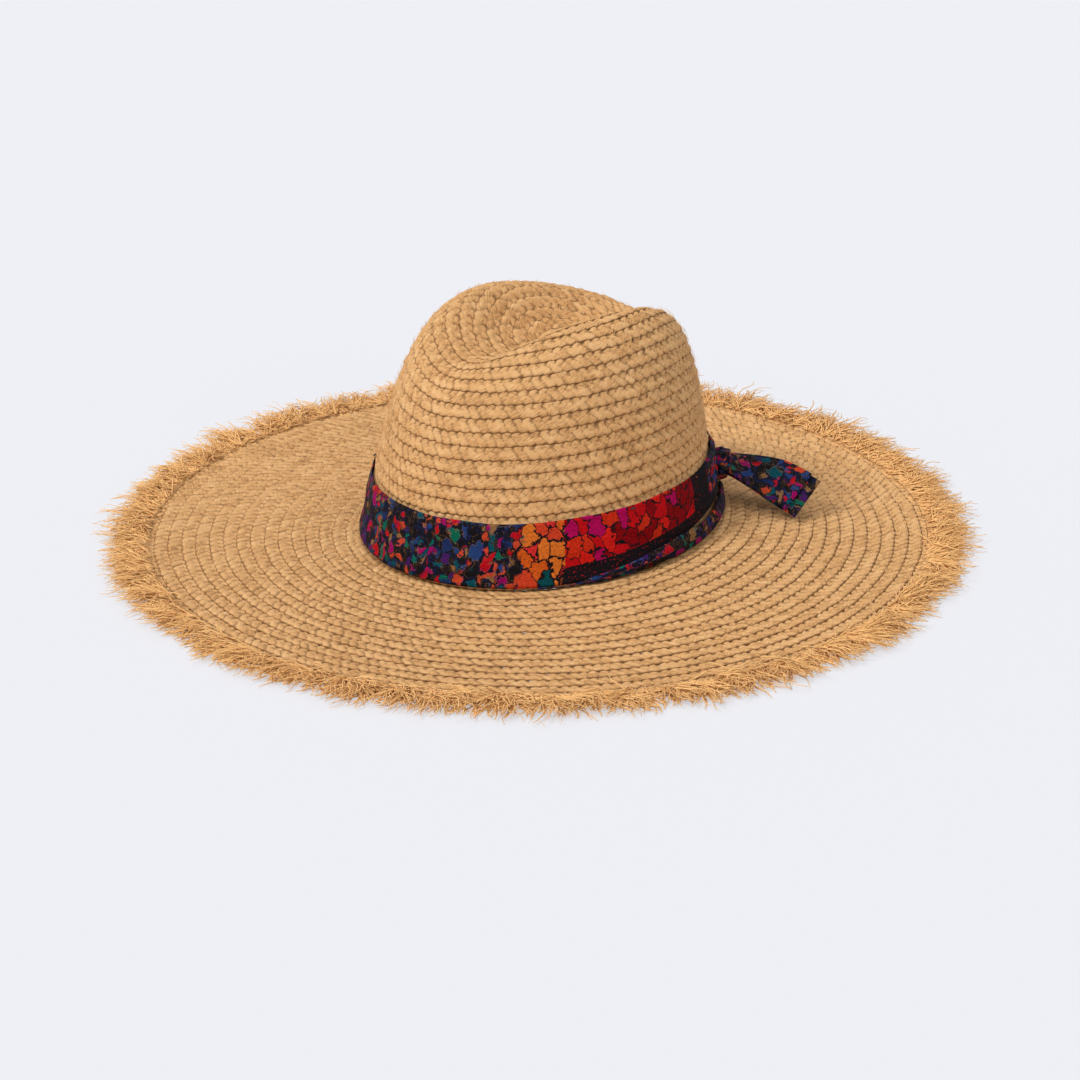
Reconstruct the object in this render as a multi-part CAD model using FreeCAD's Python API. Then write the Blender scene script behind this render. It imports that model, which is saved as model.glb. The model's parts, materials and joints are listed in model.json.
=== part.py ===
import FreeCAD, Part
import math
import os

# Wide-brimmed straw sun hat: sewn raffia braid with a teardrop crown, a frayed fringe and a
# knotted scarf for a hat band.  Millimetres.  +Z up, -Y is the front of the hat (over the
# forehead), +X the wearer's left.  The origin lies on the table, under the middle of the brim.

# ---------------------------------------------------------------- driving dimensions
HEAD_SIDE = 94.2          # half width of the crown's outer oval at the head line
HEAD_FRONT = 100.4        # half length of that oval
STRAW = 3.0               # thickness of the sewn braid, crown and brim

HEAD_HEIGHT = 9.2         # height of the head line over the table, at the sides
HEAD_TILT = 6.0           # how much higher the head line is at the back than at the sides

CROWN_TOP = 142.0         # height that the crown would have without its dent
CROWN_SQUARE = 4.1        # roundness of the crown's shoulder (higher is squarer)
LEAN_FRONT = 0.284        # inward lean of the front wall, as a share of the oval
LEAN_SIDE = 0.270
LEAN_BACK = 0.148
TIP_BACK = 18.5           # the tip button lies this far behind the middle

DENT_MIDDLE = 12.5        # the teardrop dent: where its middle is, along Y
DENT_FRONT = 100.0        # its reach to the front
DENT_BACK = 85.0          # and to the back
DENT_SIDE = 37.5          # and to each side
DENT_DEPTH = 32.0
DENT_EDGE = 0.16          # softness of its rim
RIDGE_FRONT_DROP = 10.5   # how much lower the ridge is at the front
RIDGE_TWIST = 0.0042      # the hand-pressed ridge is higher at two opposite corners, per mm2

BRIM_WIDTH = 121.6        # sixteen rows of braid
BRIM_RISE_WIDTH = 92.0    # the inner part of the brim that rises to the head line
EDGE_WIDTH = 7.6          # the last row, sewn on over the fringe
FRINGE_LENGTH = 27.0
FRINGE_THICK = 4.4        # at the root, flattened tufts
FRINGE_TIP_THICK = 1.6

TIP_BUTTON_RISE = 9.0     # length of braid, up the meridian, taken by the start of the coil

SWEATBAND_HEIGHT = 30.0
SWEATBAND_THICK = 1.2
SWEATBAND_LIFT = 1.0      # its lower edge over the crown's edge
JOIN_WIDTH = 12.0         # the tape over the sweatband's ends, at the back
JOIN_THICK = 0.8

SASH_HEIGHT = 35.5
SASH_THICK = 1.6
SASH_LIFT = 1.2           # its lower edge over the brim
FOLD_HEIGHT = 11.0        # the rolled second turn, low on the wearer's left
FOLD_THICK = 1.5
FOLD_FROM = -20.0         # degrees round the crown, 0 at +X and 90 at the back
FOLD_TO = 62.0

KNOT_AT = 76.0            # degrees round the crown
KNOT_RISE = 17.0          # height of the knot's middle up the sash
KNOT_DEPTH = 12.0         # along the tails
KNOT_WIDTH = 27.0
KNOT_HEIGHT = 20.0
KNOT_ROUND = 5.0
KNOT_OUT = 0.36           # share of its depth by which its middle stands out of the sash
KNOT_ROUND_LIMIT = 0.45   # the rounding is at most this share of its least size

TAIL_HEADING = 46.0       # degrees, the way the tails point on the brim
TAIL_DROP = 18.5          # degrees below the horizontal
TAIL_TILT = 32.0          # degrees that each tail's width leans up from the brim
TAIL_TILT_SPEED = 1.5     # the lean is complete at 1 / 1.5 of the length
TAIL_LENGTH = 40.0
TAIL_BOW = 2.5            # how much each tail arches up between its ends
TAIL_ROOT_WIDTH = 15.0
TAIL_WIDTH = 29.0
TAIL_THICK = 1.2
LOWER_TAIL_LONGER = 6.0

THREAD = 0.7              # sewing thread and its stitches
STITCH_LENGTH = 3.0
TACK_COUNT = 8

FIT_GAP = 0.15            # cloth against straw, and thread against cloth
MOVE_GAP = 0.6            # between pieces that move against each other
ROOT_GAP = 2.2            # between the knot's face and the tails' roots, where they bend

AROUND = 60               # points round an oval
WALL_LEVELS = 22          # sections up the crown
MERIDIAN_STEPS = 240      # points up the crown from which its lengths are taken
MERIDIAN_CROWDING = 1.6   # how much closer those points lie near the edge
SLOPE_STEP = 1.5          # half the distance, up and round, over which the crown's slope is taken
SLOPE_ANGLE = 2.0
TAIL_SECTIONS = 10        # sections along each tail


# ---------------------------------------------------------------- small helpers
def vec(x, y, z):
    """A FreeCAD point."""
    return FreeCAD.Vector(x, y, z)


def save(name, shape):
    """Write one node, after testing that it is sound."""
    assert shape.isValid() and shape.Volume > 0, name
    shape.exportStep(f"parts/{name}.step")
    box = shape.BoundBox
    print(f"{name:22s} {shape.Volume:10.0f} mm3  {box.XLength:6.1f} {box.YLength:6.1f} {box.ZLength:6.1f}")


def ring_angles():
    """The angles, in degrees, at which the closed sections are worked out."""
    return [360.0 * i / AROUND for i in range(AROUND)]


def closed_edge(points):
    """One smooth closed curve through points that go once round."""
    curve = Part.BSplineCurve()
    steps = [i / len(points) for i in range(len(points) + 1)]
    curve.interpolate(Points=points, Parameters=steps, PeriodicFlag=True)
    return curve.toShape()


def sewn(faces):
    """A solid from faces that meet edge to edge."""
    shell = Part.makeShell(faces)
    shell.sewShape()
    solid = Part.makeSolid(Part.Shell(shell.Faces))
    if solid.Volume < 0:
        solid.reverse()
    return solid


def ring_solid(sections):
    """A closed ring whose cross-section is the polygon that the section functions give."""
    edges = [closed_edge([section(a) for a in ring_angles()]) for section in sections]
    faces = [Part.makeRuledSurface(a, b) for a, b in zip(edges, edges[1:] + edges[:1])]
    return sewn(faces)


def strip_solid(corner_rows):
    """A solid from rows of four corners: each row is one cross-section of the strip."""
    edges = []
    for k in range(4):
        curve = Part.BSplineCurve()
        steps = [i / (len(corner_rows) - 1) for i in range(len(corner_rows))]
        curve.interpolate(Points=[row[k] for row in corner_rows], Parameters=steps)
        edges.append(curve.toShape())
    faces = [Part.makeRuledSurface(a, b) for a, b in zip(edges, edges[1:] + edges[:1])]
    for row in (corner_rows[0], corner_rows[-1]):
        near, far = Part.makeLine(row[0], row[1]), Part.makeLine(row[3], row[2])
        faces.append(Part.makeRuledSurface(near, far))
    return sewn(faces)


# ---------------------------------------------------------------- the crown's surface
def head_line(angle):
    """Height of the crown's lower edge at an angle round the head: a tilted plane."""
    return HEAD_HEIGHT + HEAD_TILT * math.sin(math.radians(angle))


def dent_share(x, y):
    """How far the dent is pressed in at a place: 0 outside its rim, 1 at its middle."""
    along = (y - DENT_MIDDLE) / (DENT_FRONT if y < DENT_MIDDLE else DENT_BACK)
    inside = 1 - math.hypot(x / DENT_SIDE, along)
    ramp = inside + math.hypot(inside, DENT_EDGE)
    ramp = min(ramp / (1 + math.hypot(1, DENT_EDGE)), 1)
    return 1 - (1 - ramp) ** 2


def crown_point(angle, turn):
    """A point of the crown's outer surface; turn runs from 0 at the head line to 1 at the tip."""
    a = math.radians(angle)
    up = math.sin(turn * math.pi / 2) ** (2 / CROWN_SQUARE)
    round_out = max(math.cos(turn * math.pi / 2), 0) ** (2 / CROWN_SQUARE)
    front = max(-math.sin(a), 0) ** 2
    back = max(math.sin(a), 0) ** 2
    lean = LEAN_SIDE + (LEAN_FRONT - LEAN_SIDE) * front + (LEAN_BACK - LEAN_SIDE) * back
    out = round_out * (1 - lean * up)
    x = HEAD_SIDE * math.cos(a) * out
    y = HEAD_FRONT * math.sin(a) * out + TIP_BACK * (1 - round_out)
    z = head_line(angle) * (1 - up) + CROWN_TOP * up
    nose = min(max((DENT_MIDDLE - y) / DENT_FRONT, 0), 1.3)
    z -= DENT_DEPTH * dent_share(x, y) * up ** 3
    z += (RIDGE_TWIST * x * y - RIDGE_FRONT_DROP * nose ** 2) * up ** 2
    return vec(x, y, z)


MERIDIANS = {}


def meridian(angle):
    """The crown's line from edge to tip at an angle, with the length up to each point."""
    if angle not in MERIDIANS:
        turns = [(i / MERIDIAN_STEPS) ** MERIDIAN_CROWDING for i in range(MERIDIAN_STEPS + 1)]
        line = [crown_point(angle, turn) for turn in turns]
        far = [0.0]
        for a, b in zip(line, line[1:]):
            far.append(far[-1] + a.distanceToPoint(b))
        MERIDIANS[angle] = (line, far)
    return MERIDIANS[angle]


def on_meridian(angle, rise):
    """The point of the outer surface that lies rise millimetres up the meridian."""
    line, far = meridian(angle)
    k = next((i for i, s in enumerate(far) if s > rise), len(far) - 1)
    share = (rise - far[k - 1]) / (far[k] - far[k - 1])
    return line[k - 1] + (line[k] - line[k - 1]) * share


def skin(angle, rise, offset):
    """A point off the crown's surface: rise up the meridian, offset outwards."""
    place = on_meridian(angle, rise)
    up = on_meridian(angle, rise + SLOPE_STEP) - on_meridian(angle, max(rise - SLOPE_STEP, 0))
    share = rise / meridian(angle)[1][-1]
    before, after = angle - SLOPE_ANGLE, angle + SLOPE_ANGLE
    left = on_meridian(before, share * meridian(before)[1][-1])
    right = on_meridian(after, share * meridian(after)[1][-1])
    outward = (right - left).cross(up)
    outward.normalize()
    return place + outward * offset


def crown_section(share, offset):
    """The closed section at a share of the way from the head line to the tip button."""

    def section(angle):
        top = meridian(angle)[1][-1] - TIP_BUTTON_RISE
        return skin(angle, share * top, offset)

    return section


# ---------------------------------------------------------------- crown pieces
def level_wall(section, base):
    """The same section, dropped onto the head line where it is the lowest one."""

    def dropped(angle):
        point = section(angle)
        if base:
            point.z = HEAD_HEIGHT + HEAD_TILT * point.y / HEAD_FRONT
        return point

    return dropped


def crown_braid():
    """The sewn spiral of braid from the head line up over the ridge and into the dent."""
    shares = [i / WALL_LEVELS for i in range(WALL_LEVELS + 1)]
    outside = [level_wall(crown_section(s, 0), s == 0) for s in shares]
    inside = [level_wall(crown_section(s, -STRAW), s == 0) for s in reversed(shares)]
    return ring_solid(outside + inside)


def crown_tip_coil():
    """The first turns of the braid, sewn as a small coiled button at the crown's tip."""
    faces = []
    rims = []
    for offset in (0, -STRAW):
        rim = closed_edge([crown_section(1, offset)(a) for a in ring_angles()])
        small = [skin(a, meridian(a)[1][-1] - TIP_BUTTON_RISE / 3, offset) for a in ring_angles()]
        level = sum(p.z for p in small) / len(small)
        flat = closed_edge([vec(p.x, p.y, level) for p in small])
        faces.append(Part.makeRuledSurface(rim, flat))
        faces.append(Part.Face(Part.Wire(flat)))
        rims.append(rim)
    faces.append(Part.makeRuledSurface(rims[0], rims[1]))
    return sewn(faces)


# ---------------------------------------------------------------- brim pieces
def oval(offset, height):
    """A section function: the head oval grown by offset, at a height that depends on the angle."""

    def section(angle):
        a = math.radians(angle)
        return vec((HEAD_SIDE + offset) * math.cos(a), (HEAD_FRONT + offset) * math.sin(a), height(angle))

    return section


def brim_top(offset):
    """A height function: the brim's upper face at an offset from the head oval."""
    share = min(max(offset / BRIM_RISE_WIDTH, 0), 1)
    ease = 1 - share * share * (3 - 2 * share)

    def height(angle):
        a = math.radians(angle)
        reach = HEAD_HEIGHT + HEAD_TILT * math.sin(a) * (1 + min(offset, 0) / HEAD_FRONT)
        return STRAW + (reach - STRAW) * ease

    return height


def lowered(height, drop):
    """A height function that lies drop below another."""
    return lambda angle: height(angle) - drop


def flat_ring(inner, outer, low, high):
    """A flat ring between two offsets from the head oval, with level faces above and below."""
    edges = [closed_edge([oval(out, lambda a: low)(a) for a in ring_angles()]) for out in (outer, inner)]
    disc, hole = [Part.Face(Part.Wire(edge)) for edge in edges]
    return disc.cut(hole).Faces[0].extrude(vec(0, 0, high - low))


def brim_braid():
    """Fifteen sewn rows: the flat outer part rests on the table, the inner part rises."""
    rows = [-STRAW] + [BRIM_RISE_WIDTH * k / 8 for k in range(9)]
    edge = BRIM_WIDTH - EDGE_WIDTH
    top = [oval(r, brim_top(r)) for r in rows]
    under = [oval(r, lowered(brim_top(r), STRAW)) for r in rows]
    rising = ring_solid(under + top[::-1])
    flat = flat_ring(BRIM_RISE_WIDTH, edge, 0, STRAW)
    return rising.fuse(flat).removeSplitter()


def brim_edge_braid():
    """The last row, sewn over the roots of the fringe."""
    return flat_ring(BRIM_WIDTH - EDGE_WIDTH, BRIM_WIDTH, 0, STRAW)


def raffia_fringe():
    """The frayed fringe as one soft ring, thick at its root and thin at its tips."""
    tip = BRIM_WIDTH + FRINGE_LENGTH
    middle = BRIM_WIDTH + FRINGE_LENGTH / 2
    return ring_solid(
        [
            oval(BRIM_WIDTH, lambda a: 0),
            oval(middle, lambda a: 0),
            oval(tip, lambda a: 0.4),
            oval(tip, lambda a: 0.4 + FRINGE_TIP_THICK),
            oval(middle, lambda a: FRINGE_THICK),
            oval(BRIM_WIDTH, lambda a: STRAW),
        ]
    )


def fringe_stitching():
    """The line of thread that holds the fringe under the last row."""
    line = BRIM_WIDTH - EDGE_WIDTH / 2
    return flat_ring(line - THREAD / 2, line + THREAD / 2, STRAW, STRAW + THREAD)


def head_seam_thread():
    """The thread that joins crown and brim, on the inner side of the joint."""
    out = -STRAW - THREAD
    height = brim_top(-STRAW)
    return ring_solid(
        [
            oval(out, lowered(height, 2 * THREAD)),
            oval(-STRAW, lowered(height, 2 * THREAD)),
            oval(-STRAW, lowered(height, THREAD)),
            oval(out, lowered(height, THREAD)),
        ]
    )


# ---------------------------------------------------------------- lining and band
def band(low, high, inside, outside):
    """A band round the crown between two rises and two offsets from its surface."""
    return ring_solid(
        [
            lambda a: skin(a, low, inside),
            lambda a: skin(a, low, outside),
            lambda a: skin(a, (low + high) / 2, outside),
            lambda a: skin(a, high, outside),
            lambda a: skin(a, high, inside),
            lambda a: skin(a, (low + high) / 2, inside),
        ]
    )


def part_band(start, end, low, high, inside, outside):
    """A stretch of such a band between two angles."""
    count = max(int((end - start) / 6), 3)
    rows = []
    for i in range(count + 1):
        a = start + (end - start) * i / count
        corners = [(low, inside), (low, outside), (high, outside), (high, inside)]
        rows.append([skin(a, rise, offset) for rise, offset in corners])
    return strip_solid(rows)


SWEAT_OUT = -STRAW - FIT_GAP
SWEAT_IN = SWEAT_OUT - SWEATBAND_THICK
SASH_IN = FIT_GAP
SASH_OUT = FIT_GAP + SASH_THICK


def sweatband():
    """The ribbon inside the crown that sits on the head."""
    return band(SWEATBAND_LIFT, SWEATBAND_LIFT + SWEATBAND_HEIGHT, SWEAT_IN, SWEAT_OUT)


def sweatband_join():
    """The short tape over the sweatband's two ends, at the back."""
    half = math.degrees(JOIN_WIDTH / 2 / HEAD_FRONT)
    top = SWEATBAND_LIFT + SWEATBAND_HEIGHT
    outside = SWEAT_IN - FIT_GAP
    return part_band(90 - half, 90 + half, SWEATBAND_LIFT, top, outside - JOIN_THICK, outside)


def stitch(angle, rise, offset, length):
    """One stitch: a short straight thread along the band, standing on its surface."""
    half = math.degrees(length / 2 / HEAD_FRONT)
    low, high = rise - THREAD / 2, rise + THREAD / 2
    return part_band(angle - half, angle + half, low, high, offset, offset + THREAD)


def sweatband_stitching():
    """The stitches along the sweatband's lower edge; the tape at the back covers the rest."""
    inner_round = math.pi * (HEAD_SIDE + HEAD_FRONT + 2 * SWEAT_IN)
    count = int(inner_round / (4 * STITCH_LENGTH))
    bare = JOIN_WIDTH / HEAD_FRONT * 180 / math.pi
    stitches = []
    for i in range(count):
        angle = 90 + 360.0 * i / count
        if bare < angle - 90 < 360 - bare:
            outside = SWEAT_IN - FIT_GAP - THREAD
            stitches.append(stitch(angle, SWEATBAND_LIFT + 2 * THREAD, outside, STITCH_LENGTH))
    return Part.makeCompound(stitches)


def sash_wrap():
    """The folded scarf round the crown, above the brim."""
    return band(SASH_LIFT, SASH_LIFT + SASH_HEIGHT, SASH_IN, SASH_OUT)


def sash_lower_fold():
    """The second, rolled turn of the scarf, which shows low on the wearer's left."""
    inside = SASH_OUT + FIT_GAP
    return part_band(FOLD_FROM, FOLD_TO, SASH_LIFT, SASH_LIFT + FOLD_HEIGHT, inside, inside + FOLD_THICK)


def sash_tack_stitches():
    """Small stitches that hold the scarf to the braid, near its upper edge."""
    rise = SASH_LIFT + SASH_HEIGHT - 2 * THREAD
    angles = [KNOT_AT + 360.0 * (i + 0.5) / TACK_COUNT for i in range(TACK_COUNT)]
    return Part.makeCompound([stitch(a, rise, SASH_OUT + FIT_GAP, STITCH_LENGTH) for a in angles])


# ---------------------------------------------------------------- knot and tails
HEADING = math.radians(TAIL_HEADING)
FORWARD = vec(math.cos(HEADING), math.sin(HEADING), 0)
HINGE_AXIS = vec(math.sin(HEADING), -math.cos(HEADING), 0)


def knot_middle():
    """The middle of the knot, half buried behind the sash's outer face."""
    face = skin(KNOT_AT, SASH_LIFT + KNOT_RISE, SASH_OUT)
    return face + FORWARD * (KNOT_DEPTH * KNOT_OUT)


def hinge_point():
    """Where the tails bend: at their roots, clear of the knot's outer face."""
    return knot_middle() + FORWARD * (KNOT_DEPTH / 2 + ROOT_GAP)


def sash_knot():
    """The knot at the back: a rounded lump, cut to the sash that it sits on."""
    corner = vec(-KNOT_DEPTH / 2, -KNOT_WIDTH / 2, -KNOT_HEIGHT / 2)
    lump = Part.makeBox(KNOT_DEPTH, KNOT_WIDTH, KNOT_HEIGHT, corner)
    round_off = min(KNOT_ROUND, KNOT_ROUND_LIMIT * min(KNOT_DEPTH, KNOT_WIDTH, KNOT_HEIGHT))
    lump = lump.makeFillet(round_off, lump.Edges)
    lump.rotate(vec(0, 0, 0), vec(0, 0, 1), TAIL_HEADING)
    lump.translate(knot_middle())
    within = band(0, SASH_LIFT + SASH_HEIGHT + KNOT_HEIGHT, -KNOT_DEPTH, SASH_OUT + FIT_GAP)
    pieces = lump.cut(within).Solids
    return max(pieces, key=lambda s: s.Volume)


def tail(length, level):
    """One end of the scarf: a strip that falls from the knot, turns up its width and arches a little."""
    drop = math.radians(TAIL_DROP)
    along = FORWARD * math.cos(drop) - vec(0, 0, math.sin(drop))
    side = HINGE_AXIS * -1
    normal = along.cross(side)
    normal = normal if normal.z > 0 else normal * -1
    rows = []
    for i in range(TAIL_SECTIONS + 1):
        far = length * i / TAIL_SECTIONS
        turn = math.sin(min(far / TAIL_LENGTH, 1) * math.pi / 2)
        tilt = math.radians(TAIL_TILT) * min(TAIL_TILT_SPEED * far / TAIL_LENGTH, 1)
        across = side * math.cos(tilt) + normal * math.sin(tilt)
        face = normal * math.cos(tilt) - side * math.sin(tilt)
        width = TAIL_ROOT_WIDTH + (TAIL_WIDTH - TAIL_ROOT_WIDTH) * turn
        half = across * (width / 2)
        arch = TAIL_BOW * math.sin(math.pi * far / (TAIL_LENGTH + LOWER_TAIL_LONGER))
        middle = hinge_point() + along * far + normal * arch + face * level
        low, high = face * (-TAIL_THICK / 2), face * (TAIL_THICK / 2)
        rows.append([middle - half + low, middle + half + low, middle + half + high, middle - half + high])
    return strip_solid(rows)


def sash_tail_lower():
    """The longer end, which lies on the brim."""
    return tail(TAIL_LENGTH + LOWER_TAIL_LONGER, -(TAIL_THICK + MOVE_GAP) / 2)


def sash_tail_upper():
    """The shorter end, which lies on the lower one."""
    return tail(TAIL_LENGTH, (TAIL_THICK + MOVE_GAP) / 2)


# ---------------------------------------------------------------- build
NODES = [
    crown_braid,
    crown_tip_coil,
    brim_braid,
    brim_edge_braid,
    raffia_fringe,
    fringe_stitching,
    head_seam_thread,
    sweatband,
    sweatband_join,
    sweatband_stitching,
    sash_wrap,
    sash_lower_fold,
    sash_tack_stitches,
    sash_knot,
    sash_tail_lower,
    sash_tail_upper,
]

os.makedirs("parts", exist_ok=True)
for node in NODES:
    save(node.__name__, node())
print("hinge point", [round(c, 3) for c in hinge_point()], "axis", [round(c, 4) for c in HINGE_AXIS])
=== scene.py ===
"""A wide-brimmed straw sun hat: sewn raffia braid, a frayed fringe and a knotted scarf.

Shapes are worked out in millimetres, with +Z up, -Y to the front of the hat and +X to the wearer's
left, and are written to the meshes in metres.
"""

import json
import logging
import math
from dataclasses import dataclass, field
from enum import Enum
from typing import Callable, Sequence

import bpy
import numpy as np
from mathutils import Matrix


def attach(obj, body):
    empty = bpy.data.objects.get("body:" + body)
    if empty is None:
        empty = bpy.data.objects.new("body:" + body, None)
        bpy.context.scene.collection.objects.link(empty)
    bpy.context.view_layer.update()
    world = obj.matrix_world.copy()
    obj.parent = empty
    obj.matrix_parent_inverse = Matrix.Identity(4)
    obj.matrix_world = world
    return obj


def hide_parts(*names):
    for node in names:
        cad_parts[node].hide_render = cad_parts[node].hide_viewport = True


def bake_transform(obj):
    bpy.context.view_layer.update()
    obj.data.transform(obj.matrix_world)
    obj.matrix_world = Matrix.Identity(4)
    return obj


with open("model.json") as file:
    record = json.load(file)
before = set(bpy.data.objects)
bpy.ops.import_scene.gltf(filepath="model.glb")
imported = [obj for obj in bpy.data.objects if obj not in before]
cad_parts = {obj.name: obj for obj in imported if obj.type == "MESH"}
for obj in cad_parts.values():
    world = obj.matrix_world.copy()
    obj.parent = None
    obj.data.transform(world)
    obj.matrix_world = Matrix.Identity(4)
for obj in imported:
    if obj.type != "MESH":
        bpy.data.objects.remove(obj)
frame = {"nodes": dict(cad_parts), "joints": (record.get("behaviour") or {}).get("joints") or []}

MM = 0.001
TURN = 2 * math.pi
Array = np.ndarray
log = logging.getLogger("hat")


class Body(Enum):
    """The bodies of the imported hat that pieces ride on."""

    HAT = "hat"
    TAIL_LOWER = "tail_lower"
    TAIL_UPPER = "tail_upper"


class Slot(Enum):
    """The record's material slots."""

    BRAID = "raffia_braid"
    FRINGE = "raffia_fringe"
    SCARF = "printed_scarf"
    RIBBON = "ribbon"
    THREAD = "thread"
    DARK_THREAD = "dark_thread"


# ---------------------------------------------------------------- numbers
def ease(x: Array) -> Array:
    """Smooth step: 0 below 0, 1 above 1, 3x^2 - 2x^3 between."""
    t = np.clip(x, 0, 1)
    return t * t * (3 - 2 * t)


def bump(x: Array, width: float) -> Array:
    """A rounded bump of height 1 at 0 that has died away at width."""
    return np.exp(-((x / width) ** 2) * 2.5)


def unit(v: Array) -> Array:
    """Vectors scaled to length 1."""
    return v / np.maximum(np.linalg.norm(v, axis=-1, keepdims=True), 1e-9)


def turn_from(angle: Array, start: float) -> Array:
    """Degrees from the start to an angle, between -180 and 180."""
    return np.mod(angle - start + 180, 360) - 180


def run_length(line: Array) -> Array:
    """How far along a line of points (n, 3) each of them lies."""
    return np.concatenate([[0], np.cumsum(np.linalg.norm(np.diff(line, axis=0), axis=-1))])


def sway(x: Array, seed: int, count: int = 4, pitch: float = 1.0) -> Array:
    """A slow irregular wave in -1..1: a sum of a few sines of random phase and rising pitch.

    Args:
        x: where the wave is read.
        seed: which wave it is.
        count: how many sines are added.
        pitch: waves per unit of x of the first sine.

    Returns:
        The wave's height at each x.
    """
    rng = np.random.default_rng(seed)
    total = np.zeros_like(np.asarray(x, float))
    for k in range(count):
        rate = pitch * (1 + k * rng.uniform(0.6, 1.1))
        total = total + np.sin(TURN * (rate * x + rng.random())) / (1 + 0.6 * k)
    return total / 2.2


# ---------------------------------------------------------------- meshes
@dataclass
class Cloud:
    """Points and faces that are gathered into one mesh.

    A grid of points (rows, columns, 3) gives one quad between each four neighbours.
    """

    points: list[Array] = field(default_factory=list)
    quads: list[Array] = field(default_factory=list)
    tris: list[Array] = field(default_factory=list)
    marks: dict[str, list[Array]] = field(default_factory=dict)
    count: int = 0

    def add(self, points: Array, quads: Array | None = None, tris: Array | None = None,
            **marks: Array) -> None:
        """Add loose points with their faces.

        Args:
            points: an array (n, 3).
            quads: faces of four corners, counted from this array's first point.
            tris: faces of three corners, counted likewise.
            marks: named values for each point, of shape (n,) or (n, 3).
        """
        self.points.append(points.reshape(-1, 3))
        if quads is not None:
            self.quads.append(quads.reshape(-1, 4) + self.count)
        if tris is not None:
            self.tris.append(tris.reshape(-1, 3) + self.count)
        for name, value in marks.items():
            self.marks.setdefault(name, []).append(value.reshape(len(self.points[-1]), -1))
        self.count += len(self.points[-1])

    def grid(self, points: Array, loop_rows: bool = False, loop_columns: bool = False,
             caps: bool = False, **marks: Array) -> None:
        """Add a grid of points as quads.

        Args:
            points: an array (rows, columns, 3).
            loop_rows: the last row joins the first.
            loop_columns: the last column joins the first.
            caps: the first and last rows are closed with a fan round their middle.
            marks: named values for each point of the grid.
        """
        rows, columns = points.shape[:2]
        index = np.arange(rows * columns).reshape(rows, columns)
        if loop_rows:
            index = np.vstack([index, index[:1]])
        if loop_columns:
            index = np.hstack([index, index[:, :1]])
        quads = np.stack([index[:-1, :-1], index[:-1, 1:], index[1:, 1:], index[1:, :-1]], -1)
        flat = points.reshape(-1, 3)
        tris = None
        if caps:
            ends = [points[0].mean(0), points[-1].mean(0)]
            flat = np.vstack([flat, *[e[None] for e in ends]])
            first, last = index[0], index[-1]
            middle = rows * columns
            start = np.stack([first[1:], first[:-1], np.full(len(first) - 1, middle)], -1)
            stop = np.stack([last[:-1], last[1:], np.full(len(last) - 1, middle + 1)], -1)
            tris = np.vstack([start, stop])
            marks = {
                k: np.vstack([v.reshape(rows * columns, -1), v[0].reshape(columns, -1).mean(0)[None],
                              v[-1].reshape(columns, -1).mean(0)[None]])
                for k, v in marks.items()
            }
        self.add(flat, quads, tris, **marks)

    def build(self, name: str, flip: bool = False, smooth: bool = True) -> bpy.types.Object:
        """Make the mesh object, in metres.

        Args:
            name: the object's name.
            flip: turn every face over.
            smooth: shade the faces smoothly.

        Returns:
            The new object, linked to the scene.
        """
        quads = np.vstack(self.quads) if self.quads else np.zeros((0, 4), int)
        tris = np.vstack(self.tris) if self.tris else np.zeros((0, 3), int)
        if flip:
            quads, tris = quads[:, ::-1], tris[:, ::-1]
        corners = np.concatenate([quads.ravel(), tris.ravel()]).astype(np.int32)
        starts = np.concatenate([np.arange(len(quads)) * 4, len(quads) * 4 + np.arange(len(tris)) * 3])
        mesh = bpy.data.meshes.new(name)
        mesh.vertices.add(self.count)
        mesh.vertices.foreach_set("co", (np.vstack(self.points) * MM).astype(np.float32).ravel())
        mesh.loops.add(len(corners))
        mesh.loops.foreach_set("vertex_index", corners)
        mesh.polygons.add(len(starts))
        mesh.polygons.foreach_set("loop_start", starts.astype(np.int32))
        mesh.update(calc_edges=True)
        mesh.polygons.foreach_set("use_smooth", np.full(len(starts), smooth))
        for mark, parts in self.marks.items():
            values = np.vstack(parts).astype(np.float32)
            kind = "FLOAT_VECTOR" if values.shape[1] == 3 else "FLOAT"
            layer = mesh.attributes.new(mark, kind, "POINT")
            layer.data.foreach_set("vector" if kind == "FLOAT_VECTOR" else "value", values.ravel())
        mesh.validate()
        piece = bpy.data.objects.new(name, mesh)
        bpy.context.scene.collection.objects.link(piece)
        return piece


def place(piece: bpy.types.Object, finish: "Finish", body: Body | None,
          nodes: Sequence[str] = ()) -> bpy.types.Object:
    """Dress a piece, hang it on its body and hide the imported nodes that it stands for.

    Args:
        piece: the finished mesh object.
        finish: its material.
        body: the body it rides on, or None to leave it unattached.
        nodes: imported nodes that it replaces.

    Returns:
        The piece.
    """
    piece.data.materials.clear()
    piece.data.materials.append(finish.material())
    if body:
        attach(piece, body.value)
    if nodes:
        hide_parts(*nodes)
    log.info("%s: %d faces", piece.name, len(piece.data.polygons))
    return piece


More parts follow.
